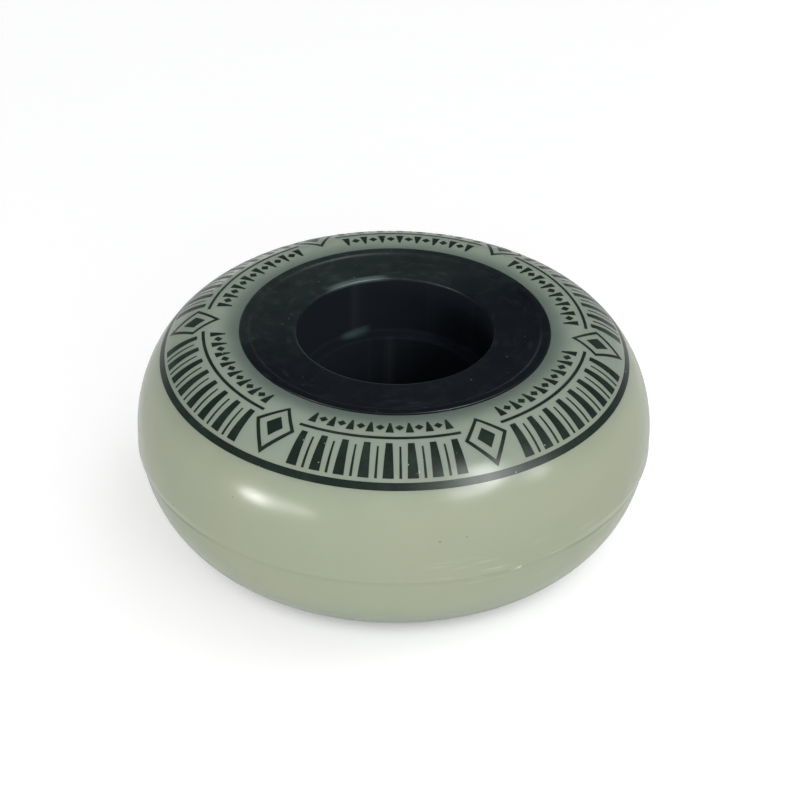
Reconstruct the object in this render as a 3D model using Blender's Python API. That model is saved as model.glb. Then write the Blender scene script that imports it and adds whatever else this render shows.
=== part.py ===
"""Inline skate wheel: a urethane tyre cast round a black nylon hub, with an open bearing seat in each side.

Metres, +Z up along the axle. The origin is the wheel's centre, and the wheel lies on the lip of its hub.
"""

import math

import bmesh
import bpy
from mathutils import Matrix

# Wheel, 58 mm across
HUB_WIDTH = 0.024  # between the hub's two faces, which the bearings end flush with
TYRE_DEPTH = 0.0117  # from the hub's rim out to the tread
HUB_DIAMETER = 0.0346  # the black disc that shows in the tyre's side

# Hub's face and lip
LIP_WIDTH = 0.0012
LIP_HEIGHT = 0.0003  # above the hub's face
LIP_SLOPE = 0.0003  # run of the lip's inner wall
LIP_EDGE_BEVEL = 0.00015

# Bearing seats and the narrower bore between them
SEAT_DIAMETER = 0.022
SEAT_DEPTH = 0.007
SEAT_EDGE_RADIUS = 0.0003
SHOULDER_HEIGHT = 0.0016  # in from the seat's wall, for the bearing's outer ring to stop against
BORE_EDGE_BEVEL = 0.0003

# Rib round the hub that the tyre is cast over, and through its key holes
BARREL_DRAFT = 0.0002  # the barrel's growth in radius from its end to the rib
RIB_HEIGHT = 0.004
RIB_WIDTH = 0.005
RIB_ROOT_RADIUS = 0.0006
RIB_EDGE_BEVEL = 0.0004
KEY_HOLE_COUNT = 12
KEY_HOLE_DIAMETER = 0.0022
MOULDING_GAP = 0.0003  # between the hub and the tyre that is cast round it

# Tyre
TYRE_BELOW_LIP = 0.0002  # from the hub's lip down to the tyre's side
SIDE_FLAT_WIDTH = 0.0022  # from the hub's rim to where the rounded tread starts
TYRE_EDGE_BEVEL = 0.0001
PARTING_DROP = 0.0015  # the parting line's depth below the wheel's middle
PARTING_STEP = 0.00012  # how much smaller the lower half's radius is
PARTING_SLOPE = 0.00012

# Printed ring on the upper side, from its outer edge inwards
PRINT_INSET = 0.00275  # from the tread's widest radius to the ring
STRIPE_WIDTH = 0.00055
STRIPE_GAP = 0.0003
BAR_LENGTH = 0.0034
BAR_WIDTH = 0.00083
LINE_GAP = 0.0005
LINE_WIDTH = 0.00035
TICK_GAP = 0.0006
TICK_LENGTH = 0.0017
LOZENGE_LENGTH = 0.0058  # along a radius, from the bars' outer ends inwards
LOZENGE_WIDTH = 0.005
LOZENGE_OUTLINE = 0.45  # share of the way out from a lozenge's middle where its outline starts
LOZENGE_CORE = 0.3  # share of the way out where its core ends
PANEL_COUNT = 6
PITCHES_IN_PANEL = 10
BARS_IN_PANEL = 8

# Facets
HUB_COLUMNS = 60
KEY_HOLE_SIDES = 8
CORNER_STEPS = 2
UPPER_TREAD_STEPS = 4
LOWER_TREAD_STEPS = 8

# Linear colours
URETHANE_COLOUR = (0.392, 0.430, 0.302, 1)
INK_COLOUR = (0.012, 0.022, 0.016, 1)
NYLON_COLOUR = (0.009, 0.011, 0.013, 1)
INK = 1  # the ink's place among the tyre's materials


def clear_scene():
    for obj in list(bpy.data.objects):
        bpy.data.objects.remove(obj, do_unlink=True)


def material(name, colour, roughness):
    made = bpy.data.materials.new(name)
    made.use_nodes = True
    shader = made.node_tree.nodes["Principled BSDF"]
    shader.inputs["Base Color"].default_value = colour
    shader.inputs["Roughness"].default_value = roughness
    shader.inputs["Metallic"].default_value = 0.0
    made.diffuse_color = colour
    return made


def new_object(name, mesh, *materials):
    obj = bpy.data.objects.new(name, mesh)
    bpy.context.scene.collection.objects.link(obj)
    for one in materials:
        mesh.materials.append(one)
    return obj


def combine(obj, operation, other):
    """Cuts or joins another object, which is then only a helper."""
    other.hide_render = True
    other.display_type = "WIRE"
    modifier = obj.modifiers.new(other.name, "BOOLEAN")
    modifier.operation = operation
    modifier.solver = "EXACT"
    modifier.object = other


def corner(centre_r, centre_z, radius, start, end):
    """Points of a rounded corner in the (radius, height) plane, between two angles in degrees."""
    angles = [math.radians(start + (end - start) * i / CORNER_STEPS) for i in range(CORNER_STEPS + 1)]
    return [(centre_r + radius * math.cos(a), centre_z + radius * math.sin(a)) for a in angles]


def with_mirror_image(upper):
    """A section with the mirror image of its upper half before it, as the points run upwards."""
    return [(r, -z) for r, z in reversed(upper)] + upper


def turned(section, columns):
    """A ring turned from a closed section of (radius, height) points, one column of faces to each angle."""
    bm = bmesh.new()
    corners = [bm.verts.new((r, 0, z)) for r, z in section]
    last = corners + [bm.edges.new(ends) for ends in zip(corners, corners[1:] + corners[:1])]
    for angle in columns:
        step = bmesh.ops.spin(bm, geom=last, cent=(0, 0, 0), axis=(0, 0, 1), angle=angle, steps=1)
        last = step["geom_last"]
    bmesh.ops.remove_doubles(bm, verts=bm.verts, dist=2e-6)
    bmesh.ops.recalc_face_normals(bm, faces=bm.faces)
    return bm


def finished_mesh(name, bm):
    mesh = bpy.data.meshes.new(name)
    bm.to_mesh(mesh)
    bm.free()
    mesh.shade_smooth()
    mesh.set_sharp_from_angle(angle=math.radians(30))
    return mesh


def hub_rim():
    return HUB_DIAMETER / 2


def barrel_at_rib():
    return hub_rim() + BARREL_DRAFT


def lip_top():
    return HUB_WIDTH / 2 + LIP_HEIGHT


def rib_section(grown):
    """The upper half of the rib, from its root on the barrel out to its rim, made larger by `grown`."""
    side = RIB_WIDTH / 2 + grown
    rim = barrel_at_rib() + RIB_HEIGHT + grown
    fillet = RIB_ROOT_RADIUS - grown
    return [
        *corner(barrel_at_rib() + RIB_ROOT_RADIUS, side + fillet, fillet, 180, 270),
        (rim - RIB_EDGE_BEVEL, side),
        (rim, side - RIB_EDGE_BEVEL),
    ]


def hub_section():
    face = HUB_WIDTH / 2
    shoulder = face - SEAT_DEPTH
    seat = SEAT_DIAMETER / 2
    bore = seat - SHOULDER_HEIGHT
    lip_inside = hub_rim() - LIP_WIDTH
    return with_mirror_image([
        (bore, shoulder - BORE_EDGE_BEVEL),
        (bore + BORE_EDGE_BEVEL, shoulder),
        (seat, shoulder),
        *corner(seat + SEAT_EDGE_RADIUS, face - SEAT_EDGE_RADIUS, SEAT_EDGE_RADIUS, 180, 90),
        (lip_inside, face),
        (lip_inside + LIP_SLOPE, lip_top()),
        (hub_rim() - LIP_EDGE_BEVEL, lip_top()),
        (hub_rim(), lip_top() - LIP_EDGE_BEVEL),
        *rib_section(grown=0),
    ])


def key_pins(name, diameter):
    """A mesh of upright round pins, longer than the rib is wide, one in the place of each key hole."""
    inside = barrel_at_rib() + RIB_ROOT_RADIUS
    outside = barrel_at_rib() + RIB_HEIGHT - RIB_EDGE_BEVEL
    bm = bmesh.new()
    for i in range(KEY_HOLE_COUNT):
        turn = Matrix.Rotation(math.tau * i / KEY_HOLE_COUNT, 4, "Z")
        bmesh.ops.create_cone(
            bm, cap_ends=True, segments=KEY_HOLE_SIDES, radius1=diameter / 2, radius2=diameter / 2,
            depth=RIB_WIDTH * 2, matrix=turn @ Matrix.Translation(((inside + outside) / 2, 0, 0)),
        )
    return finished_mesh(name, bm)


def make_hub():
    nylon = material("black nylon", NYLON_COLOUR, 0.5)
    columns = [math.tau / HUB_COLUMNS] * HUB_COLUMNS
    hub = new_object("hub", finished_mesh("hub", turned(hub_section(), columns)), nylon)
    drill = new_object("key_hole_drill", key_pins("key_hole_drill", KEY_HOLE_DIAMETER), nylon)
    combine(hub, "DIFFERENCE", drill)


def wheel_radius():
    return hub_rim() + TYRE_DEPTH


def tyre_side():
    return lip_top() - TYRE_BELOW_LIP


def tread_start():
    return hub_rim() + SIDE_FLAT_WIDTH


def tread_point(turn, widest):
    """A point of the elliptical tread, from turn 0 at its widest to a quarter turn at the side."""
    across = widest - tread_start()
    return tread_start() + across * math.cos(turn), tyre_side() * math.sin(turn)


def turn_at_radius(radius):
    across = wheel_radius() - tread_start()
    return math.acos(max(0.0, radius - tread_start()) / across)


def turn_at_depth(depth):
    return math.asin(-depth / tyre_side())


def print_bands():
    """The printed ring's bands, each with its inner and outer radius."""
    stripe_outside = wheel_radius() - PRINT_INSET
    stripe_inside = stripe_outside - STRIPE_WIDTH
    bars_outside = stripe_inside - STRIPE_GAP
    bars_inside = bars_outside - BAR_LENGTH
    line_outside = bars_inside - LINE_GAP
    line_inside = line_outside - LINE_WIDTH
    ticks_outside = line_inside - TICK_GAP
    return {
        "stripe": (stripe_inside, stripe_outside),
        "bars": (bars_inside, bars_outside),
        "waist": (bars_inside + BAR_LENGTH / 3, bars_outside - BAR_LENGTH / 3),
        "line": (line_inside, line_outside),
        "ticks": (ticks_outside - TICK_LENGTH, ticks_outside),
    }


def tyre_section():
    """The tyre's closed section: out across the upper side, down the tread, in, and up the inner wall."""
    widest = wheel_radius()
    side = tyre_side()
    inner_wall = hub_rim() + MOULDING_GAP
    edge = inner_wall + TYRE_EDGE_BEVEL

    rows = {radius for band in print_bands().values() for radius in band if radius > edge}
    rows.add(tread_start())
    section = [(radius, side * math.sin(turn_at_radius(radius))) for radius in sorted(rows)]

    below_print = turn_at_radius(max(rows))
    for i in range(1, UPPER_TREAD_STEPS + 1):
        section.append(tread_point(below_print * (1 - i / UPPER_TREAD_STEPS), widest))
    section.append(tread_point(turn_at_depth(PARTING_DROP), widest))

    ledge = turn_at_depth(PARTING_DROP + PARTING_SLOPE)
    for i in range(LOWER_TREAD_STEPS + 1):
        turn = ledge - (math.pi / 2 + ledge) * i / LOWER_TREAD_STEPS
        section.append(tread_point(turn, widest - PARTING_STEP))

    return section + with_mirror_image([
        *reversed(rib_section(grown=MOULDING_GAP)),
        (inner_wall, side - TYRE_EDGE_BEVEL),
        (edge, side),
    ])


def pitch_angle():
    return math.tau / (PANEL_COUNT * PITCHES_IN_PANEL)


def bar_angle():
    return BAR_WIDTH / (sum(print_bands()["bars"]) / 2)


def way_out_of_lozenge(radius, angle):
    """0 in the middle of the panel's lozenge and 1 on its edge, for an angle from the panel's start."""
    middle = print_bands()["bars"][1] - LOZENGE_LENGTH / 2
    gap_middle = ((BARS_IN_PANEL + PITCHES_IN_PANEL + 1) * pitch_angle() - bar_angle()) / 2
    aside = (angle - gap_middle) * middle
    return abs(radius - middle) / (LOZENGE_LENGTH / 2) + abs(aside) / (LOZENGE_WIDTH / 2)


def is_printed(radius, angle):
    """Whether ink covers the face of the upper side with its centre at this radius and angle."""
    under = {name for name, (inside, outside) in print_bands().items() if inside < radius < outside}
    in_panel = angle % (math.tau / PANEL_COUNT)
    way_out = way_out_of_lozenge(radius, in_panel)
    if "stripe" in under:
        return True
    if way_out < 1:
        return not LOZENGE_CORE < way_out < LOZENGE_OUTLINE
    pitch, rest = divmod(in_panel, pitch_angle())
    on_bar = rest > pitch_angle() - bar_angle() and pitch < BARS_IN_PANEL
    return "line" in under or (on_bar and bool(under & {"bars", "ticks"}))


def print_ring(bm):
    for face in bm.faces:
        centre = face.calc_center_median()
        if centre.z > 0 and face.normal.z > 0 and is_printed(centre.xy.length, math.atan2(centre.y, centre.x)):
            face.material_index = INK


def make_tyre():
    urethane = material("cast urethane", URETHANE_COLOUR, 0.25)
    ink = material("printing ink", INK_COLOUR, 0.35)
    columns = [pitch_angle() - bar_angle(), bar_angle()] * (PANEL_COUNT * PITCHES_IN_PANEL)
    bm = turned(tyre_section(), columns)
    print_ring(bm)
    tyre = new_object("tyre", finished_mesh("tyre", bm), urethane, ink)
    pins = key_pins("tyre_keys", KEY_HOLE_DIAMETER - 2 * MOULDING_GAP)
    combine(tyre, "UNION", new_object("tyre_keys", pins, urethane))


def main():
    clear_scene()
    make_hub()
    make_tyre()


main()
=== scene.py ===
import math

import bmesh
import bpy
from mathutils import Matrix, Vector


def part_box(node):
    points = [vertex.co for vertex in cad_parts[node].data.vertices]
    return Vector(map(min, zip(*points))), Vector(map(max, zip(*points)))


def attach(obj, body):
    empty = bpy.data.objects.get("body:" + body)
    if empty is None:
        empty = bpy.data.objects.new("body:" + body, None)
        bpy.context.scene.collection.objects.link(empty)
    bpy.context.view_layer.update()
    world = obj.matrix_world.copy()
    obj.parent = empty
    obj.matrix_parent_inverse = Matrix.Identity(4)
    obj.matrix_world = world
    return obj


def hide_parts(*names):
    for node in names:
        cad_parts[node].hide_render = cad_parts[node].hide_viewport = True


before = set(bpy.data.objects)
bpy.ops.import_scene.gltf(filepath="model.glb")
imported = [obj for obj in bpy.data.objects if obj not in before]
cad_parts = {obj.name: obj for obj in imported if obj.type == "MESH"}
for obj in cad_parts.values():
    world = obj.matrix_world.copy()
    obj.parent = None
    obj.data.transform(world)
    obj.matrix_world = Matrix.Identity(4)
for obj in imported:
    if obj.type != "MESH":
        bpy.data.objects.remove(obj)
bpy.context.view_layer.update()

BODY = "root"

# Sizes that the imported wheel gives
LIP_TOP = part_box("hub")[1].z
TYRE_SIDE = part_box("tyre")[1].z
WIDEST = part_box("tyre")[1].x

# Hub, as in the wheel's construction
HUB_RIM = 0.0173
HUB_FACE = 0.012
LIP_WIDTH = 0.0012
LIP_SLOPE = 0.0003
SEAT_RADIUS = 0.011
SEAT_DEPTH = 0.007
BORE_RADIUS = 0.0094
BARREL_DRAFT = 0.0002
RIB_HEIGHT = 0.004
RIB_HALF_WIDTH = 0.0025
KEY_HOLE_COUNT = 12
KEY_HOLE_RADIUS = 0.0011
KEY_CIRCLE = 0.0197  # radius of the circle that the key holes' centres lie on

# Roundings of the hub's edges and inner corners
SEAT_MOUTH_ROUND = 0.00025
SEAT_ROOT_ROUND = 0.00035
BORE_ROUND = 0.0003
LIP_ROOT_ROUND = 0.0002
LIP_TOP_ROUND = 0.0001
LIP_EDGE_ROUND = 0.00015
RIB_ROOT_ROUND = 0.0006
RIB_EDGE_ROUND = 0.0004

# Tyre, as in the wheel's construction
TREAD_START = HUB_RIM + 0.0022
PARTING_DROP = 0.0015
PARTING_STEP = 0.00012
PARTING_SLOPE = 0.0001
PARTING_ROUND = 0.00004
FLASH_HEIGHT = 0.00009  # the low swell that the mould's joint leaves above the parting line
FLASH_WIDTH = 0.0011
TYRE_EDGE_ROUND = 0.0001
HAIRLINE = 0.00002  # between the tyre and the hub that it is bonded to

# Printed ring: each band's inner and outer radius, as in the wheel's construction
STRIPE = (0.0257, 0.02625)
BARS = (0.0220, 0.0254)
LINE = (0.02115, 0.0215)
TICKS = (0.01885, 0.02055)
BAR_WIDTHS = (0.0007, 0.0012)  # of each kind of bar, at its inner and its outer end
TICK_WIDTHS = (0.0002, 0.0009)
THIN_BAR_WIDTHS = (0.0002, 0.0003)
THIN_BAR_SHORTER = 0.0004  # than the bars beside it, at its inner end
DOT_HALF_WIDTH = 0.0005  # of the small lozenge between two ticks
LOZENGE_HALF_LENGTH = 0.0029
LOZENGE_HALF_WIDTH = 0.0025
LOZENGE_LINE = 0.8  # share of the way out from a lozenge's middle where its outline starts
LOZENGE_CORE = 0.42  # share of the way out where its core ends
PANEL_COUNT = 6
PITCHES_IN_PANEL = 10
BARS_IN_PANEL = 8
PITCH = math.tau / (PANEL_COUNT * PITCHES_IN_PANEL)
BAR_CENTRE = 5 / 6  # of a pitch
INK_HEIGHT = 0.000012  # above the urethane
INK_DEPTH = 0.00003  # the film's whole thickness, with the part that has sunk in

# Facets
COLUMNS = 360
TREAD_STEPS = 56
ROUND_STEPS = 5
KEY_PIN_SIDES = 24
BAR_SQUARES = (4, 12)
LOZENGE_SQUARES = (20, 20)
RING_ROWS = 3
SHARP_ANGLE = math.radians(35)
SAME_PLACE = 1e-7  # corners nearer than this are one
SQUARE_SLACK = 0.001  # keeps the corners on the edge of a lozenge's hole

# Floor
FLOOR_RADIUS = 6.0
FLOOR_SIDES = 64

# The camera, as fitted to the photograph
CAMERA_DISTANCE = 0.3301
CAMERA_ELEVATION = 0.58526
CAMERA_ROLL = -0.01554
CAMERA_ASIDE = (0.0006725, 0.0021354)
LENS = 130.77  # in millimetres
NEAREST_SEEN = 0.01

# Lamps: name, azimuth and elevation in degrees, distance, width, height and power
LIGHTING_LAMPS = (
    ("key", 108, 61, 0.8, 0.60, 0.60, 1.8),
    ("left fill", -60, 30, 0.9, 0.9, 0.6, 1.1),
    ("front softbox", 8, 34, 0.9, 1.1, 0.8, 4.95),
    ("top softbox", 0, 86, 0.9, 0.9, 0.9, 2.3),
)
GLEAM_LAMPS = (
    ("window left pane", 49, 42, 0.6, 0.11, 0.25, 3.1),
    ("window sill", 36, 31, 0.6, 0.16, 0.10, 1.1),
    ("window right pane", 68, 25, 0.6, 0.05, 0.08, 0.60),
    ("low window", -58, 4.5, 0.6, 0.12, 0.07, 1.3),
    ("low window's side", -47, 8, 0.6, 0.30, 0.06, 1.1),
    ("low lamp behind", -166, 0, 0.6, 0.12, 0.08, 0.07),
)

# Places of a Mix node's colour sockets
MIX_FACTOR, MIX_FIRST, MIX_SECOND, MIX_RESULT = 0, 6, 7, 2

# Linear colours
URETHANE = (0.450, 0.484, 0.351, 1)
URETHANE_GREEN = (0.438, 0.481, 0.353, 1)
URETHANE_YELLOW = (0.458, 0.483, 0.346, 1)
# painted shade that darkens the tyre's sides, over the hub's rib and the print, against the tread
URETHANE_SIDES_PAINTED_SHADE = (0.322, 0.380, 0.302, 1)
# painted shade at the hub, together with the dark nylon showing through the urethane
URETHANE_HUB_PAINTED_SHADE = (0.140, 0.182, 0.152, 1)
# pale streaks, and also the painted highlight just above the parting line
URETHANE_STREAK_AND_PAINTED_HIGHLIGHT = (0.62, 0.65, 0.53, 1)
# painted shadow under the ledge of the parting line
PARTING_PAINTED_SHADOW = (0.15, 0.17, 0.115, 1)
DARK_SPECK = (0.16, 0.17, 0.12, 1)
PALE_SPECK = (0.75, 0.77, 0.66, 1)
NYLON = (0.0028, 0.0042, 0.0070, 1)
# dust and wear, and also the painted sheen on the hub's far side
NYLON_WORN_AND_SHEEN = (0.018, 0.029, 0.0245, 1)
NYLON_IN_SEAT = (0.0100, 0.0140, 0.0195, 1)
# painted gleam low in the upper seat
SEAT_PAINTED_GLEAM = (0.036, 0.064, 0.068, 1)
# painted highlight along the upper seat's mouth
MOUTH_PAINTED_HIGHLIGHT = (0.085, 0.130, 0.115, 1)
DUST = (0.16, 0.17, 0.17, 1)
INK = (0.010, 0.020, 0.014, 1)
INK_THIN = (0.030, 0.052, 0.036, 1)
FLOOR = (0.88, 0.88, 0.88, 1)
FLOOR_SEEN = (0.55, 0.55, 0.55, 1)
GLOW_BEHIND = (0.59, 0.585, 0.58, 1)
GLOW_AT_RIGHT = (0.70, 0.70, 0.70, 1)
GLOW_MIRRORED = (0.42, 0.42, 0.42, 1)
STUDIO_WALL = (0.060, 0.072, 0.085, 1)
STUDIO_FOOT = (0.35, 0.35, 0.35, 1)
BLACK = (0, 0, 0, 1)

# A fade, here and below, is a pair: the value at which a mark is absent, and the one at which it is full.

# Specks: spacing, radius, and the share of the places that have one
DARK_SPECKS = (0.0030, 0.00013, 0.50)
PALE_SPECKS = (0.0027, 0.00011, 0.35)
COARSE_DUST = (0.0010, 0.00009, 0.45)
FINE_DUST = (0.0006, 0.00005, 0.60)
PINHOLES = (0.0008, 0.00007, 0.45)
SMALLEST_SPECK = 0.35  # of the radius given for it
SPECK_FADE = 0.25  # of that radius
CHANCE_FADE = 0.001
SPOT_CORE = 0.4  # share of a spot's radius over which it is full

# Where painted shade darkens the urethane, by the radius from the axle, with the dark nylon also showing
# through at the hub
SIDES_PAINTED_SHADE_FADE = (0.0280, 0.0245)
HUB_SHADE_FADE = (0.0205, 0.0172)
HUB_SHADE_NARROWER = 0.0003  # at the back, and as much wider in front
SHADE_WANDER = 0.0008

# Streaks, and a painted highlight and painted shadow, in the urethane by their distance from the parting
# line
STREAKS_FADE = (0.0034, 0.0008)
RIDGE_PAINTED_HIGHLIGHT_FADE = (0.00055, 0.00015)
LEDGE_PAINTED_SHADOW_FADE = (0.00055, 0.00005)
BESIDE_PARTING = 0.0003  # how far the painted highlight lies above the line, and the painted shadow below it

# How strong the marks, and the painted highlight and shadow, in the urethane are
TINT_STRENGTH = 0.5
STREAK_STRENGTH = 0.55
RIDGE_PAINTED_HIGHLIGHT_STRENGTH = 0.45
LEDGE_PAINTED_SHADOW_ALL_ROUND = 0.05
LEDGE_PAINTED_SHADOW_AT_SIDES = 0.50  # on top of the painted shadow all round
DARK_SPECK_STRENGTH = 0.6
PALE_SPECK_STRENGTH = 0.7

# Where round the tread the streaks, and the painted highlight and shadow beside the parting line, are
SIDES_FADE = (0.30, 0.78)  # in the square of how far to the right or left
STREAKED_SIDE_FADE = (-0.1, 0.3)  # in how far to the right

# Patterns drawn out round the wheel: the radius that they are read on, and their squeeze in height
STREAK_CIRCLE, STREAK_SQUEEZE = 0.012, 4
SMEAR_CIRCLE, SMEAR_SQUEEZE = 0.02, 2
SCUFF_CIRCLE = 0.004

# Nicks in the tread: place, radius and strength
DARK_NICKS = (
    ((0.00510, -0.02815, 0.00343), 0.00019, 0.5),
    ((0.00793, -0.02744, 0.00362), 0.00017, 0.4),
)
PALE_NICKS = (
    ((0.01374, -0.02543, -0.00171), 0.00042, 0.9),
    ((0.01337, -0.02563, -0.00185), 0.00032, 0.5),
    ((0.01298, -0.02583, -0.00185), 0.00026, 0.4),
)

# Heights of the bumps in each surface
URETHANE_SWELL = 0.00006
NYLON_GRAIN = 0.000006
NYLON_RIPPLE = 0.00003

# Roughness of each surface, and how much its pattern adds
URETHANE_ROUGHNESS, URETHANE_SMEARED = 0.205, 0.055
NYLON_ROUGHNESS, NYLON_UNEVEN = 0.34, 0.12
INK_ROUGHNESS, INK_UNEVEN = 0.29, 0.10
FLOOR_ROUGHNESS = 0.9
SEAT_ROUGHER = 0.5  # than the nylon elsewhere
SEAT_METALLIC = 0.75  # dims the seat's sheen

# How light spreads in the urethane
SUBSURFACE_WEIGHT = 0.35
SUBSURFACE_RADIUS = (0.0030, 0.0034, 0.0024)

# How strong the marks on the nylon and in the ink, and the painted sheen on the nylon, are
WEAR_ALL_OVER = 0.06
PAINTED_SHEEN_LEAST, PAINTED_SHEEN_BY_WEAR = 0.45, 0.55
SCUFF_STRENGTH = 0.12
SMUDGE_ALL_OVER, SMUDGE_ON_SHEEN_SIDE = 0.03, 0.05
COARSE_DUST_STRENGTH = 0.6
FINE_DUST_STRENGTH = 0.5
THIN_COVER, THIN_GRAIN = 0.6, 0.15

# The side of the hub that the painted sheen lightens, as a direction across the floor and a fade along it
PAINTED_SHEEN_SIDE = (-0.5, 0.866)
PAINTED_SHEEN_FADE = (-0.003, 0.015)

# A seat's finish ends at its mouth, on a cone that narrows by this much for each unit of height
SEAT_CONE = 0.2
SEAT_FADE = 0.0001

# Painted highlights along stretches of the upper seat's mouth: distance outside, fade across, direction,
# fade round, strength
FAR_MOUTH_HIGHLIGHT = (0.0003, (0.0006, 0.0001), (-0.407, 0.914), (0.925, 0.985), 0.9)
NEAR_MOUTH_HIGHLIGHT = (0.0001, (0.00025, 0.00008), (-0.47, -0.88), (0.35, 0.9), 0.35)
MOUTH_HIGHLIGHT_HEIGHT_FADE = (0.0115, 0.0118)

# A painted gleam in the upper seat: its direction from the axle, its height, its slope and the fades of its
# edges
SEAT_GLEAM_TURN = math.radians(115)
SEAT_GLEAM_HEIGHT = 0.00530
SEAT_GLEAM_SLOPE = 0.13
SEAT_GLEAM_SIDE_FADE = (0.0023, 0.0008)
SEAT_GLEAM_HEIGHT_FADE = (0.00060, 0.00015)
SEAT_GLEAM_OUTWARD_FADE = (0.0100, 0.0106)

# The floor's glow: brighter towards the right, and none under the wheel
RIGHT_SIDE = (0.94, -0.34)
RIGHT_SIDE_FADE = (-0.005, 0.028)
GLOW_STARTS = 0.018
GLOW_IS_FULL = 0.025

# The paler band along the foot of the studio's walls, as a fade in the height of the direction looked in
STUDIO_FOOT_FADE = (0.20, 0.05)


class Value:
    """A socket in a node tree. Python's operators on it add Math nodes."""

    def __init__(self, nodes, socket):
        self.nodes = nodes
        self.socket = socket

    def _math(self, operation, *values):
        return self.nodes.add("Math", {"operation": operation}, dict(enumerate(values)))

    def __add__(self, other):
        return self._math("ADD", self, other)

    def __radd__(self, other):
        return self._math("ADD", other, self)

    def __sub__(self, other):
        return self._math("SUBTRACT", self, other)

    def __rsub__(self, other):
        return self._math("SUBTRACT", other, self)

    def __mul__(self, other):
        return self._math("MULTIPLY", self, other)

    def __rmul__(self, other):
        return self._math("MULTIPLY", other, self)

    def __truediv__(self, other):
        return self._math("DIVIDE", self, other)

    def __rtruediv__(self, other):
        return self._math("DIVIDE", other, self)

    def __pow__(self, other):
        return self._math("POWER", self, other)

    def highest(self, other):
        return self._math("MAXIMUM", self, other)

    def size(self):
        return self._math("ABSOLUTE", self)

    def rise(self, low, high):
        """0 below `low`, 1 above `high` and smooth between. With `low` above `high` it falls instead."""
        settings = {"interpolation_type": "SMOOTHSTEP"}
        return self.nodes.add("MapRange", settings, {0: self, 1: low, 2: high})


class Nodes:
    """Adds nodes to the tree of a material or of the world."""

    def __init__(self, tree):
        self.tree = tree

    def add(self, kind, settings=None, sockets=None, output=0):
        """One node of a type, with its settings set first, and then its sockets' values or links."""
        node = self.tree.nodes.new("ShaderNode" + kind)
        for name, setting in (settings or {}).items():
            setattr(node, name, setting)
        for place, value in (sockets or {}).items():
            self.feed(node.inputs[place], value)
        return Value(self, node.outputs[output])

    def feed(self, socket, value):
        if isinstance(value, Value):
            self.tree.links.new(value.socket, socket)
        else:
            socket.default_value = value

    def place(self):
        """The point on the piece, in metres from the wheel's centre."""
        return self.add("TexCoord", output="Object")

    def parts(self, vector):
        """A vector's three numbers."""
        split = self.add("SeparateXYZ", {}, {0: vector}).socket.node
        return [Value(self, socket) for socket in split.outputs]

    def point(self, x, y, z):
        return self.add("CombineXYZ", {}, {0: x, 1: y, 2: z})

    def noise(self, place, size, detail=2.0, roughness=0.5):
        """Noise from 0 to 1, with features of about `size` metres."""
        sockets = {"Vector": place, "Scale": 1 / size, "Detail": detail, "Roughness": roughness}
        return self.add("TexNoise", {}, sockets)

    def specks(self, place, spacing, radius, share):
        """Round specks in a share of the cells of a cellular pattern, 1 inside and 0 outside."""
        cell = {"Vector": place, "Scale": 1 / spacing}
        distance = self.add("TexVoronoi", {}, cell, "Distance")
        chance, size, _ = self.parts(self.add("TexVoronoi", {}, cell, "Color"))
        reach = radius / spacing * (SMALLEST_SPECK + size)
        inside = (reach - distance).rise(0.0, SPECK_FADE * radius / spacing)
        return inside * (share - chance).rise(0.0, CHANCE_FADE)

    def spot(self, place, centre, radius):
        """1 in a round spot about a point, fading to 0 at its edge."""
        distance = self.add("VectorMath", {"operation": "DISTANCE"}, {0: place, 1: centre}, "Value")
        return distance.rise(radius, radius * SPOT_CORE)

    def mix(self, factor, first, second):
        sockets = {MIX_FACTOR: factor, MIX_FIRST: first, MIX_SECOND: second}
        return self.add("Mix", {"data_type": "RGBA"}, sockets, MIX_RESULT)

    def bump(self, height, depth, normal=None):
        sockets = {"Strength": 1.0, "Distance": depth, "Height": height}
        if normal:
            sockets["Normal"] = normal
        return self.add("Bump", {}, sockets)


class Finish(Nodes):
    """A material with one Principled shader."""

    def __init__(self, name):
        self.material = bpy.data.materials.new(name)
        self.material.use_nodes = True
        super().__init__(self.material.node_tree)
        self.shader = self.tree.nodes["Principled BSDF"]

    def give(self, **sockets):
        """Sets or links the shader's sockets, named with _ for each space."""
        for name, value in sockets.items():
            self.feed(self.shader.inputs[name.replace("_", " ")], value)
        return self.material


def round_wheel(place, nodes):
    """Radius from the axle, height along it, and how far to the right and to the back, from -1 to 1."""
    x, y, z = nodes.parts(place)
    radius = (x * x + y * y) ** 0.5
    return radius, z, x / radius, y / radius


def towards(direction, x, y):
    """How far a place lies in a direction across the floor."""
    return x * direction[0] + y * direction[1]


def drawn_round(nodes, rightward, backward, circle, third):
    """A place to read a pattern at, so that it is drawn out round the wheel."""
    return nodes.point(rightward * circle, backward * circle, third)


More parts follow.
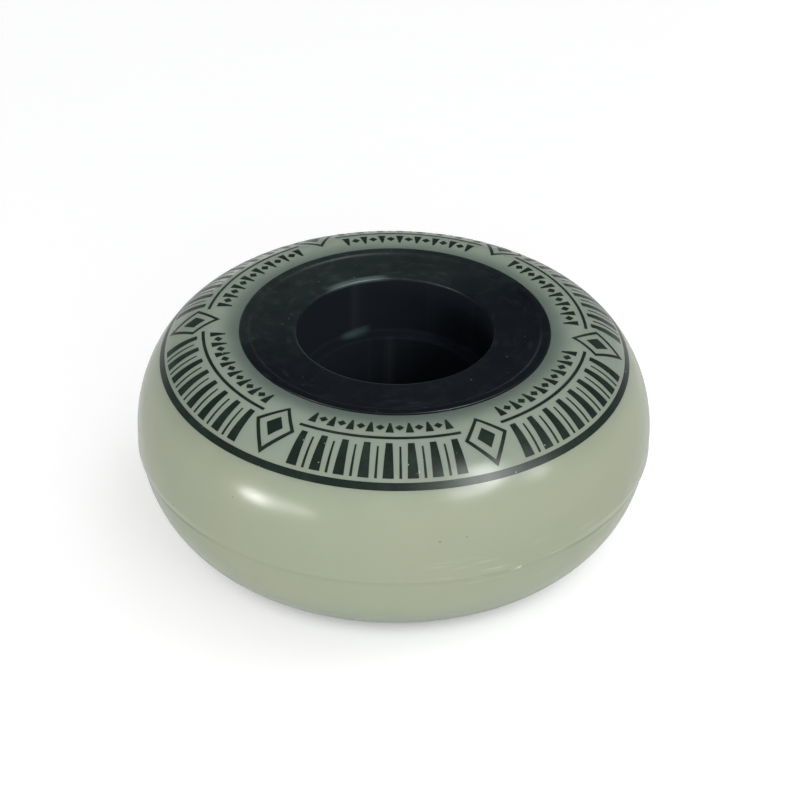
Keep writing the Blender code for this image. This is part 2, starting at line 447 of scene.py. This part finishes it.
def urethane_finish():
    """Clouded urethane, with painted shade on its sides and at the hub, streaks, and a painted highlight
    and shadow at the parting line.
    """
    nodes = Finish("cast urethane")
    place = nodes.place()
    radius, height, rightward, backward = round_wheel(place, nodes)

    clouds = nodes.noise(place, size=0.014, detail=2.5)
    tint = nodes.noise(place, size=0.03, detail=1.0)
    body = nodes.mix(clouds.rise(0.35, 0.65), URETHANE_GREEN, URETHANE_YELLOW)
    body = nodes.mix(tint.rise(0.3, 0.7) * TINT_STRENGTH, body, URETHANE)

    shaded = radius + (nodes.noise(place, size=0.004) - 0.5) * SHADE_WANDER
    # painted shade that darkens the tyre's sides
    body = nodes.mix(shaded.rise(*SIDES_PAINTED_SHADE_FADE), body, URETHANE_SIDES_PAINTED_SHADE)
    # painted shade at the hub, reaching further out in front, with the dark nylon also showing through
    hub_painted_shade = (shaded + backward * HUB_SHADE_NARROWER).rise(*HUB_SHADE_FADE)
    body = nodes.mix(hub_painted_shade, body, URETHANE_HUB_PAINTED_SHADE)

    above_parting = height + PARTING_DROP
    streak_place = drawn_round(nodes, rightward, backward, STREAK_CIRCLE, height * STREAK_SQUEEZE)
    streaks = nodes.noise(streak_place, size=0.0022, detail=3.0).rise(0.54, 0.70)
    streaks = streaks * above_parting.size().rise(*STREAKS_FADE) * rightward.rise(*STREAKED_SIDE_FADE)
    streaks = streaks * nodes.noise(place, size=0.012).rise(0.38, 0.55)
    body = nodes.mix(streaks * STREAK_STRENGTH, body, URETHANE_STREAK_AND_PAINTED_HIGHLIGHT)

    at_sides = (rightward * rightward).rise(*SIDES_FADE)
    # painted highlight on the swell just above the parting line, strongest at the sides
    ridge_painted_highlight = (above_parting - BESIDE_PARTING).size().rise(*RIDGE_PAINTED_HIGHLIGHT_FADE)
    body = nodes.mix(ridge_painted_highlight * at_sides * RIDGE_PAINTED_HIGHLIGHT_STRENGTH, body, URETHANE_STREAK_AND_PAINTED_HIGHLIGHT)
    # painted shadow under the parting line's ledge, strongest at the sides
    ledge_painted_shadow = (above_parting + BESIDE_PARTING).size().rise(*LEDGE_PAINTED_SHADOW_FADE)
    ledge_painted_shadow = ledge_painted_shadow * (LEDGE_PAINTED_SHADOW_ALL_ROUND + at_sides * LEDGE_PAINTED_SHADOW_AT_SIDES)
    body = nodes.mix(ledge_painted_shadow * nodes.noise(place, size=0.008).rise(0.25, 0.55), body, PARTING_PAINTED_SHADOW)

    body = nodes.mix(nodes.specks(place, *DARK_SPECKS) * DARK_SPECK_STRENGTH, body, DARK_SPECK)
    body = nodes.mix(nodes.specks(place, *PALE_SPECKS) * PALE_SPECK_STRENGTH, body, PALE_SPECK)
    for nicks, colour in ((DARK_NICKS, DARK_SPECK), (PALE_NICKS, PALE_SPECK)):
        for centre, size, strength in nicks:
            body = nodes.mix(nodes.spot(place, centre, size) * strength, body, colour)

    smear_place = drawn_round(nodes, rightward, backward, SMEAR_CIRCLE, height * SMEAR_SQUEEZE)
    smears = nodes.noise(smear_place, size=0.006, detail=3.0).rise(0.35, 0.75)
    swell = nodes.bump(nodes.noise(place, size=0.0065, detail=1.0), URETHANE_SWELL)
    return nodes.give(
        Base_Color=body, Roughness=URETHANE_ROUGHNESS + smears * URETHANE_SMEARED, Normal=swell,
        Specular_IOR_Level=0.2, Subsurface_Weight=SUBSURFACE_WEIGHT, Subsurface_Radius=SUBSURFACE_RADIUS,
        Subsurface_Scale=1.0,
    )


def painted_seat_gleam(place, nodes):
    """A painted highlight low on the wall of the upper seat, near its corner with the shoulder."""
    x, y, z = nodes.parts(place)
    outward = towards((math.cos(SEAT_GLEAM_TURN), math.sin(SEAT_GLEAM_TURN)), x, y)
    sideways = towards((-math.sin(SEAT_GLEAM_TURN), math.cos(SEAT_GLEAM_TURN)), x, y)
    rising = z - SEAT_GLEAM_HEIGHT + sideways * SEAT_GLEAM_SLOPE
    mark = sideways.size().rise(*SEAT_GLEAM_SIDE_FADE) * rising.size().rise(*SEAT_GLEAM_HEIGHT_FADE)
    return mark * outward.rise(*SEAT_GLEAM_OUTWARD_FADE)


def painted_mouth_highlight(radius, rightward, backward, outside, fade_across, direction, fade_round, strength):
    """A painted highlight along a stretch of the seat's mouth, on the side that lies in a direction."""
    stretch = (radius - SEAT_RADIUS - outside).size().rise(*fade_across) * strength
    return stretch * towards(direction, rightward, backward).rise(*fade_round)


def nylon_finish():
    """Black nylon: with wear and dust outside and a painted sheen on its far side, painted highlights at
    the upper seat's mouth and a painted gleam within it, and flat and dark in the seats.
    """
    nodes = Finish("moulded nylon")
    place = nodes.place()
    radius, height, rightward, backward = round_wheel(place, nodes)

    wear = nodes.noise(place, size=0.005, detail=3.0, roughness=0.6).rise(0.25, 0.80)
    # painted sheen that lightens the hub's far side
    far_painted_sheen = (towards(PAINTED_SHEEN_SIDE, rightward, backward) * radius).rise(*PAINTED_SHEEN_FADE)
    wear_and_sheen = far_painted_sheen * (PAINTED_SHEEN_LEAST + wear * PAINTED_SHEEN_BY_WEAR) + wear * WEAR_ALL_OVER
    body = nodes.mix(wear_and_sheen, NYLON, NYLON_WORN_AND_SHEEN)

    seat_end = SEAT_RADIUS + HUB_FACE * SEAT_CONE
    in_seat = (radius + height.size() * SEAT_CONE).rise(seat_end, seat_end - SEAT_FADE)
    outside_seat = 1 - in_seat
    body = nodes.mix(in_seat, body, NYLON_IN_SEAT)
    # painted gleam low in the upper seat
    body = nodes.mix(painted_seat_gleam(place, nodes), body, SEAT_PAINTED_GLEAM)
    # painted highlights along the far and near stretches of the upper seat's mouth
    far_highlight = painted_mouth_highlight(radius, rightward, backward, *FAR_MOUTH_HIGHLIGHT)
    near_highlight = painted_mouth_highlight(radius, rightward, backward, *NEAR_MOUTH_HIGHLIGHT)
    body = nodes.mix(far_highlight.highest(near_highlight) * height.rise(*MOUTH_HIGHLIGHT_HEIGHT_FADE), body, MOUTH_PAINTED_HIGHLIGHT)

    scuff_place = drawn_round(nodes, rightward, backward, SCUFF_CIRCLE, radius)
    scuffs = nodes.noise(scuff_place, size=0.0011, detail=3.0, roughness=0.6).rise(0.58, 0.8)
    body = nodes.mix(scuffs * SCUFF_STRENGTH, body, DUST)
    smudges = nodes.noise(place, size=0.0014, detail=3.0, roughness=0.6).rise(0.48, 0.72)
    # dust smudges, more of them on the side with the painted sheen
    smudges = smudges * (SMUDGE_ALL_OVER + far_painted_sheen * SMUDGE_ON_SHEEN_SIDE)
    body = nodes.mix(smudges * outside_seat, body, DUST)
    coarse = nodes.specks(place, *COARSE_DUST) * COARSE_DUST_STRENGTH
    fine = nodes.specks(place, *FINE_DUST) * FINE_DUST_STRENGTH
    body = nodes.mix(coarse.highest(fine) * outside_seat, body, DUST)

    uneven = nodes.noise(place, size=0.005, detail=3.0)
    gloss = NYLON_ROUGHNESS + uneven * NYLON_UNEVEN + in_seat * SEAT_ROUGHER
    grain = nodes.bump(nodes.noise(place, size=0.00022), NYLON_GRAIN)
    ripple = nodes.bump(nodes.noise(place, size=0.004), NYLON_RIPPLE, grain)
    return nodes.give(
        Base_Color=body, Roughness=gloss, Metallic=in_seat * SEAT_METALLIC, Normal=ripple,
        Specular_IOR_Level=0.3,
    )


def ink_finish():
    """Dark ink whose cover varies, with pinholes that show the urethane."""
    nodes = Finish("printing ink")
    place = nodes.place()
    cover = nodes.noise(place, size=0.0035, detail=3.0, roughness=0.6).rise(0.4, 0.75)
    grain = nodes.noise(place, size=0.00025).rise(0.45, 0.7)
    body = nodes.mix(cover * THIN_COVER + grain * THIN_GRAIN, INK, INK_THIN)
    body = nodes.mix(nodes.specks(place, *PINHOLES), body, URETHANE)
    gloss = INK_ROUGHNESS + nodes.noise(place, size=0.002) * INK_UNEVEN
    return nodes.give(Base_Color=body, Roughness=gloss, Specular_IOR_Level=0.25)


def floor_finish():
    """Pale paper. Its white is partly a glow for the camera and reflections, so that shadows stay light."""
    nodes = Finish("pale floor")
    x, y, _ = nodes.parts(nodes.place())
    seen_directly = nodes.add("LightPath", output="Is Camera Ray")
    seen = seen_directly
    for ray in ("Is Glossy Ray", "Is Transmission Ray"):
        seen = seen.highest(nodes.add("LightPath", output=ray))
    glow = nodes.mix(towards(RIGHT_SIDE, x, y).rise(*RIGHT_SIDE_FADE), GLOW_BEHIND, GLOW_AT_RIGHT)
    glow = nodes.mix(seen_directly, GLOW_MIRRORED, glow)
    beside_wheel = (x * x + y * y).rise(GLOW_STARTS ** 2, GLOW_IS_FULL ** 2)
    return nodes.give(
        Base_Color=nodes.mix(seen, FLOOR, FLOOR_SEEN), Roughness=FLOOR_ROUGHNESS, Specular_IOR_Level=0.0,
        Emission_Color=nodes.mix(seen * beside_wheel, BLACK, glow), Emission_Strength=1.0,
    )


def new_piece(name, bm, material):
    mesh = bpy.data.meshes.new(name)
    bm.to_mesh(mesh)
    bm.free()
    piece = bpy.data.objects.new(name, mesh)
    bpy.context.scene.collection.objects.link(piece)
    mesh.materials.append(material)
    smooth(mesh)
    return piece


def smooth(mesh):
    mesh.shade_smooth()
    mesh.set_sharp_from_angle(angle=SHARP_ANGLE)


def section_line(bm, corners):
    """A closed line in the XZ plane through corners, each given as its radius, height and rounding."""
    verts = [bm.verts.new((radius, 0, height)) for radius, height, _ in corners]
    for ends in zip(verts, verts[1:] + verts[:1]):
        bm.edges.new(ends)
    for rounding in sorted({corner[2] for corner in corners if corner[2]}):
        chosen = [vert for vert, corner in zip(verts, corners) if corner[2] == rounding]
        bmesh.ops.bevel(
            bm, geom=chosen, offset=rounding, offset_type="OFFSET", segments=ROUND_STEPS, profile=0.5,
            affect="VERTICES", material=-1,
        )


def turned(corners):
    """A closed ring, turned from a section."""
    bm = bmesh.new()
    section_line(bm, corners)
    bmesh.ops.spin(
        bm, geom=bm.verts[:] + bm.edges[:], cent=(0, 0, 0), axis=(0, 0, 1), angle=math.tau,
        steps=COLUMNS, use_merge=True,
    )
    bmesh.ops.recalc_face_normals(bm, faces=bm.faces)
    return bm


def with_mirror_image(upper):
    """The upper half's corners, after their mirror image in the lower half."""
    return [(radius, -height, rounding) for radius, height, rounding in reversed(upper)] + upper


def rib_corners(grown):
    """Root and rim of the rib round the hub, in the upper half, made larger by `grown`."""
    barrel = HUB_RIM + BARREL_DRAFT
    return [
        (barrel + grown, RIB_HALF_WIDTH + grown, RIB_ROOT_ROUND),
        (barrel + RIB_HEIGHT + grown, RIB_HALF_WIDTH + grown, RIB_EDGE_ROUND),
    ]


def key_pins(radius):
    """Upright round pins in the places of the key holes, twice as long as the rib is wide."""
    bm = bmesh.new()
    for i in range(KEY_HOLE_COUNT):
        turn = Matrix.Rotation(math.tau * i / KEY_HOLE_COUNT, 4, "Z")
        bmesh.ops.create_cone(
            bm, cap_ends=True, segments=KEY_PIN_SIDES, radius1=radius, radius2=radius,
            depth=RIB_HALF_WIDTH * 4, matrix=turn @ Matrix.Translation((KEY_CIRCLE, 0, 0)),
        )
    return bm


def combined(piece, operation, helper):
    """Cuts or joins a helper, which is then removed."""
    modifier = piece.modifiers.new(operation, "BOOLEAN")
    modifier.operation = operation
    modifier.solver = "MANIFOLD"
    modifier.object = helper
    graph = bpy.context.evaluated_depsgraph_get()
    mesh = bpy.data.meshes.new_from_object(piece.evaluated_get(graph))
    piece.modifiers.clear()
    piece.data = mesh
    bpy.data.objects.remove(helper)
    smooth(mesh)
    return piece


def make_hub(nylon):
    lip_inside = HUB_RIM - LIP_WIDTH
    shoulder = HUB_FACE - SEAT_DEPTH
    upper = [
        (BORE_RADIUS, shoulder, BORE_ROUND),
        (SEAT_RADIUS, shoulder, SEAT_ROOT_ROUND),
        (SEAT_RADIUS, HUB_FACE, SEAT_MOUTH_ROUND),
        (lip_inside, HUB_FACE, LIP_ROOT_ROUND),
        (lip_inside + LIP_SLOPE, LIP_TOP, LIP_TOP_ROUND),
        (HUB_RIM, LIP_TOP, LIP_EDGE_ROUND),
    ]
    rib = rib_corners(grown=0.0)
    hub = new_piece("moulded_hub", turned(with_mirror_image(upper + rib)), nylon)
    return combined(hub, "DIFFERENCE", new_piece("drill", key_pins(KEY_HOLE_RADIUS), nylon))


def tread_point(turn, widest):
    """A point of the elliptical tread, from turn 0 at its widest to a quarter turn at the side."""
    return TREAD_START + (widest - TREAD_START) * math.cos(turn), TYRE_SIDE * math.sin(turn)


def tread_height(radius):
    """Height of the tyre's upper side over a radius."""
    share = max(0.0, radius - TREAD_START) / (WIDEST - TREAD_START)
    return TYRE_SIDE * math.sqrt(max(0.0, 1 - share * share))


def tread_corners():
    """The tread, from its upper end down past the parting line to its lower end."""
    upper_end = -math.asin(PARTING_DROP / TYRE_SIDE)
    lower_end = -math.asin((PARTING_DROP + PARTING_SLOPE) / TYRE_SIDE)
    flash_start = -math.asin((PARTING_DROP - FLASH_WIDTH) / TYRE_SIDE)
    corners = []
    for i in range(TREAD_STEPS + 1):
        turn = math.pi / 2 + (flash_start - math.pi / 2) * i / TREAD_STEPS
        corners.append((*tread_point(turn, WIDEST), 0))
    corners.append((*tread_point(upper_end, WIDEST + FLASH_HEIGHT), PARTING_ROUND))
    corners.append((*tread_point(lower_end, WIDEST - PARTING_STEP), PARTING_ROUND))
    for i in range(1, TREAD_STEPS + 1):
        turn = lower_end + (-math.pi / 2 - lower_end) * i / TREAD_STEPS
        corners.append((*tread_point(turn, WIDEST - PARTING_STEP), 0))
    return corners


def make_tyre(urethane):
    """The tyre, cast round the hub's rib, with pins of urethane through the rib's key holes."""
    mouth = (HUB_RIM + HAIRLINE, TYRE_SIDE, TYRE_EDGE_ROUND)
    wall = [*reversed(rib_corners(grown=HAIRLINE)), mouth]
    tyre = new_piece("cast_tyre", turned(tread_corners() + with_mirror_image(wall)), urethane)
    return combined(tyre, "UNION", new_piece("keys", key_pins(KEY_HOLE_RADIUS - HAIRLINE), urethane))


def grid(bm, columns, rows):
    """A flat grid of squares from -1 to 1 each way."""
    return bmesh.ops.create_grid(bm, x_segments=columns, y_segments=rows, size=1)["verts"]


def bar(bm, angle, inside, outside, inner_width, outer_width):
    """A flat bar that points outwards, with a width at each end."""
    for vert in grid(bm, *BAR_SQUARES):
        share = (vert.co.y + 1) / 2
        radius = inside + (outside - inside) * share
        half_width = (inner_width + (outer_width - inner_width) * share) / 2
        turn = angle + vert.co.x * half_width / radius
        vert.co = (radius * math.cos(turn), radius * math.sin(turn), 0)


def lozenge(bm, angle, middle, half_length, half_width, hole=0.0):
    """A square grid turned onto its corner. `hole` is the share of it that is left open in the middle."""
    verts = grid(bm, *LOZENGE_SQUARES)
    if hole:
        inner = [vert for vert in verts if max(abs(vert.co.x), abs(vert.co.y)) < hole - SQUARE_SLACK]
        bmesh.ops.delete(bm, geom=inner, context="VERTS")
        verts = [vert for vert in verts if vert.is_valid]
    for vert in verts:
        x, y, _ = vert.co
        radius = middle + half_length * (x + y) / 2
        turn = angle + half_width * (x - y) / 2 / middle
        vert.co = (radius * math.cos(turn), radius * math.sin(turn), 0)


def ring(bm, inside, outside, start=0.0, angle=math.tau):
    """A whole ring, or an arc of it from an angle on."""
    radii = [inside + (outside - inside) * i / RING_ROWS for i in range(RING_ROWS + 1)]
    line = [bm.verts.new((radius, 0, 0)) for radius in radii]
    edges = [bm.edges.new(ends) for ends in zip(line, line[1:])]
    bmesh.ops.rotate(bm, verts=line, cent=(0, 0, 0), matrix=Matrix.Rotation(start, 3, "Z"))
    bmesh.ops.spin(
        bm, geom=line + edges, cent=(0, 0, 0), axis=(0, 0, 1), angle=angle,
        steps=round(COLUMNS * angle / math.tau), use_merge=angle == math.tau,
    )


def panel(bm, start):
    """One sixth of the printed ring: bars over an arc of the line, ticks inside it, and a lozenge."""
    for i in range(BARS_IN_PANEL):
        centre = start + (i + BAR_CENTRE) * PITCH
        bar(bm, centre, *BARS, *BAR_WIDTHS)
        bar(bm, centre, *TICKS, *TICK_WIDTHS)
        if i:
            between = centre - PITCH / 2
            bar(bm, between, BARS[0] + THIN_BAR_SHORTER, BARS[1], *THIN_BAR_WIDTHS)
            lozenge(bm, between, sum(TICKS) / 2, DOT_HALF_WIDTH, DOT_HALF_WIDTH)
    gap_middle = start + ((BARS_IN_PANEL + PITCHES_IN_PANEL) / 2 + BAR_CENTRE - 0.5) * PITCH
    middle = BARS[1] - LOZENGE_HALF_LENGTH
    lozenge(bm, gap_middle, middle, LOZENGE_HALF_LENGTH, LOZENGE_HALF_WIDTH, hole=LOZENGE_LINE)
    lozenge(bm, gap_middle, middle, LOZENGE_HALF_LENGTH * LOZENGE_CORE, LOZENGE_HALF_WIDTH * LOZENGE_CORE)
    half_gap = LOZENGE_HALF_WIDTH / middle
    ring(bm, *LINE, gap_middle + half_gap, math.tau / PANEL_COUNT - 2 * half_gap)


def make_print(ink):
    """The ink as a film that follows the tyre's upper side, sunk a little into it."""
    bm = bmesh.new()
    ring(bm, *STRIPE)
    for i in range(PANEL_COUNT):
        panel(bm, i * PITCHES_IN_PANEL * PITCH)
    bmesh.ops.remove_doubles(bm, verts=bm.verts, dist=SAME_PLACE)
    for vert in bm.verts:
        vert.co.z = tread_height(vert.co.xy.length) + INK_HEIGHT
    bmesh.ops.recalc_face_normals(bm, faces=bm.faces)
    turned_over = [face for face in bm.faces if face.normal.z < 0]
    bmesh.ops.reverse_faces(bm, faces=turned_over)
    bmesh.ops.solidify(bm, geom=bm.faces[:], thickness=INK_DEPTH)
    return new_piece("printed_ring", bm, ink)


def make_floor():
    """A round floor under the lower lip, which is not part of the wheel."""
    bm = bmesh.new()
    bmesh.ops.create_circle(
        bm, cap_ends=True, segments=FLOOR_SIDES, radius=FLOOR_RADIUS,
        matrix=Matrix.Translation((0, 0, -LIP_TOP)),
    )
    new_piece("floor", bm, floor_finish())


def facing_centre(azimuth, elevation, distance):
    """The place of a camera or lamp that faces the wheel. Azimuth 0 is in front, a quarter turn right."""
    turn = Matrix.Rotation(azimuth, 4, "Z") @ Matrix.Rotation(math.pi / 2 - elevation, 4, "X")
    return turn @ Matrix.Translation((0, 0, distance))


def make_camera():
    camera = bpy.data.objects.new("camera", bpy.data.cameras.new("camera"))
    bpy.context.scene.collection.objects.link(camera)
    camera.data.lens = LENS
    camera.data.clip_start = NEAREST_SEEN
    aside = Matrix.Translation((*CAMERA_ASIDE, 0))
    camera.matrix_world = (
        facing_centre(0, CAMERA_ELEVATION, CAMERA_DISTANCE) @ aside @ Matrix.Rotation(-CAMERA_ROLL, 4, "Z")
    )
    bpy.context.scene.camera = camera


def softbox(name, azimuth, elevation, distance, width, height, power, lights=True, mirrored=True):
    """A rectangular lamp, which may light the wheel, be mirrored in it, or both."""
    lamp = bpy.data.lights.new(name, "AREA")
    lamp.shape = "RECTANGLE"
    lamp.size = width
    lamp.size_y = height
    lamp.energy = power
    obj = bpy.data.objects.new(name, lamp)
    bpy.context.scene.collection.objects.link(obj)
    obj.matrix_world = facing_centre(math.radians(azimuth), math.radians(elevation), distance)
    obj.visible_camera = False
    obj.visible_diffuse = lights
    obj.visible_glossy = mirrored


def make_lamps():
    for lamp in LIGHTING_LAMPS:
        softbox(*lamp, mirrored=False)
    for lamp in GLEAM_LAMPS:
        softbox(*lamp, lights=False)


def make_world():
    """A dim studio with a paler band along the walls' foot."""
    world = bpy.data.worlds.new("studio")
    bpy.context.scene.world = world
    world.use_nodes = True
    nodes = Nodes(world.node_tree)
    height = nodes.parts(nodes.add("TexCoord", output="Generated"))[2]
    colour = nodes.mix(height.rise(*STUDIO_FOOT_FADE), STUDIO_WALL, STUDIO_FOOT)
    nodes.feed(world.node_tree.nodes["Background"].inputs["Color"], colour)


def settle(piece, node):
    """Puts a piece on the wheel's body, in the place of the construction's node where it has one."""
    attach(piece, BODY)
    if node:
        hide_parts(node)


make_camera()
settle(make_hub(nylon_finish()), "hub")
settle(make_tyre(urethane_finish()), "tyre")
settle(make_print(ink_finish()), None)
make_floor()
make_lamps()
make_world()
bpy.context.scene.view_settings.view_transform = "Standard"
